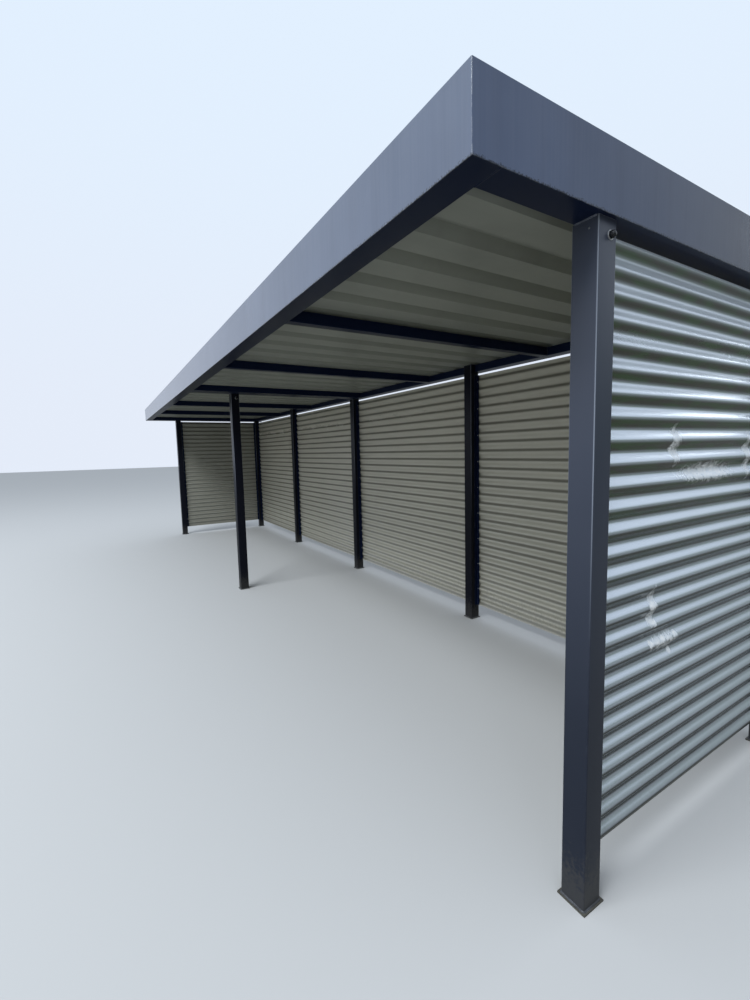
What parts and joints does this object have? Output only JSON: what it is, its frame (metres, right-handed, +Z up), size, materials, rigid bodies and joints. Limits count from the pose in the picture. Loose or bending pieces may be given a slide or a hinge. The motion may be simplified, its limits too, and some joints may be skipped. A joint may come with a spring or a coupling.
{
  "type": "bike shelter",
  "caption": "Open-fronted flat-roof bicycle shelter with square steel posts, folded fascia, ribbed roof sheets and corrugated metal back and end walls.",
  "frame": {"origin": "middle of the ground under the shelter's overall box", "axes": "+X along the length towards the end nearest in the picture, -Y out of the open front, +Z up"},
  "size_m": [8.682, 2.173, 2.385],
  "materials": {
    "post_paint": "satin anthracite powder coat",
    "beam_paint": "satin dark anthracite powder coat",
    "fascia_paint": "satin blue-grey coil coat with rain streaks",
    "roof_sheet": "matt grey-beige coil coat",
    "wall_sheet": "semi-gloss metallic silver",
    "foot_steel": "worn and dirty anthracite coat"
  },
  "bodies": {
    "root": {"front_post_near": "post_paint", "front_post_middle": "post_paint", "front_post_far": "post_paint", "back_post_1": "post_paint", "back_post_2": "post_paint", "back_post_3": "post_paint", "back_post_4": "post_paint", "back_post_5": "post_paint", "foot_plates": "foot_steel", "front_beam": "beam_paint", "back_beam": "beam_paint", "near_end_beam": "beam_paint", "far_end_beam": "beam_paint", "cross_beam_1": "beam_paint", "cross_beam_2": "beam_paint", "cross_beam_3": "beam_paint", "cross_beam_4": "beam_paint", "cross_beam_5": "beam_paint", "roof_sheet_1": "roof_sheet", "roof_sheet_2": "roof_sheet", "roof_sheet_3": "roof_sheet", "roof_sheet_4": "roof_sheet", "roof_sheet_5": "roof_sheet", "roof_sheet_6": "roof_sheet", "roof_sheet_7": "roof_sheet", "roof_sheet_8": "roof_sheet", "roof_sheet_9": "roof_sheet", "front_fascia": "fascia_paint", "near_end_fascia": "fascia_paint", "far_end_fascia": "fascia_paint", "near_wall_upper": "wall_sheet", "near_wall_lower": "wall_sheet", "far_wall_upper": "wall_sheet", "far_wall_lower": "wall_sheet", "back_wall_upper_1": "wall_sheet", "back_wall_upper_2": "wall_sheet", "back_wall_upper_3": "wall_sheet", "back_wall_upper_4": "wall_sheet", "back_wall_lower_1": "wall_sheet", "back_wall_lower_2": "wall_sheet", "back_wall_lower_3": "wall_sheet", "back_wall_lower_4": "wall_sheet", "end_wall_angles": "beam_paint", "back_wall_angles": "beam_paint"}
  },
  "joints": []
}
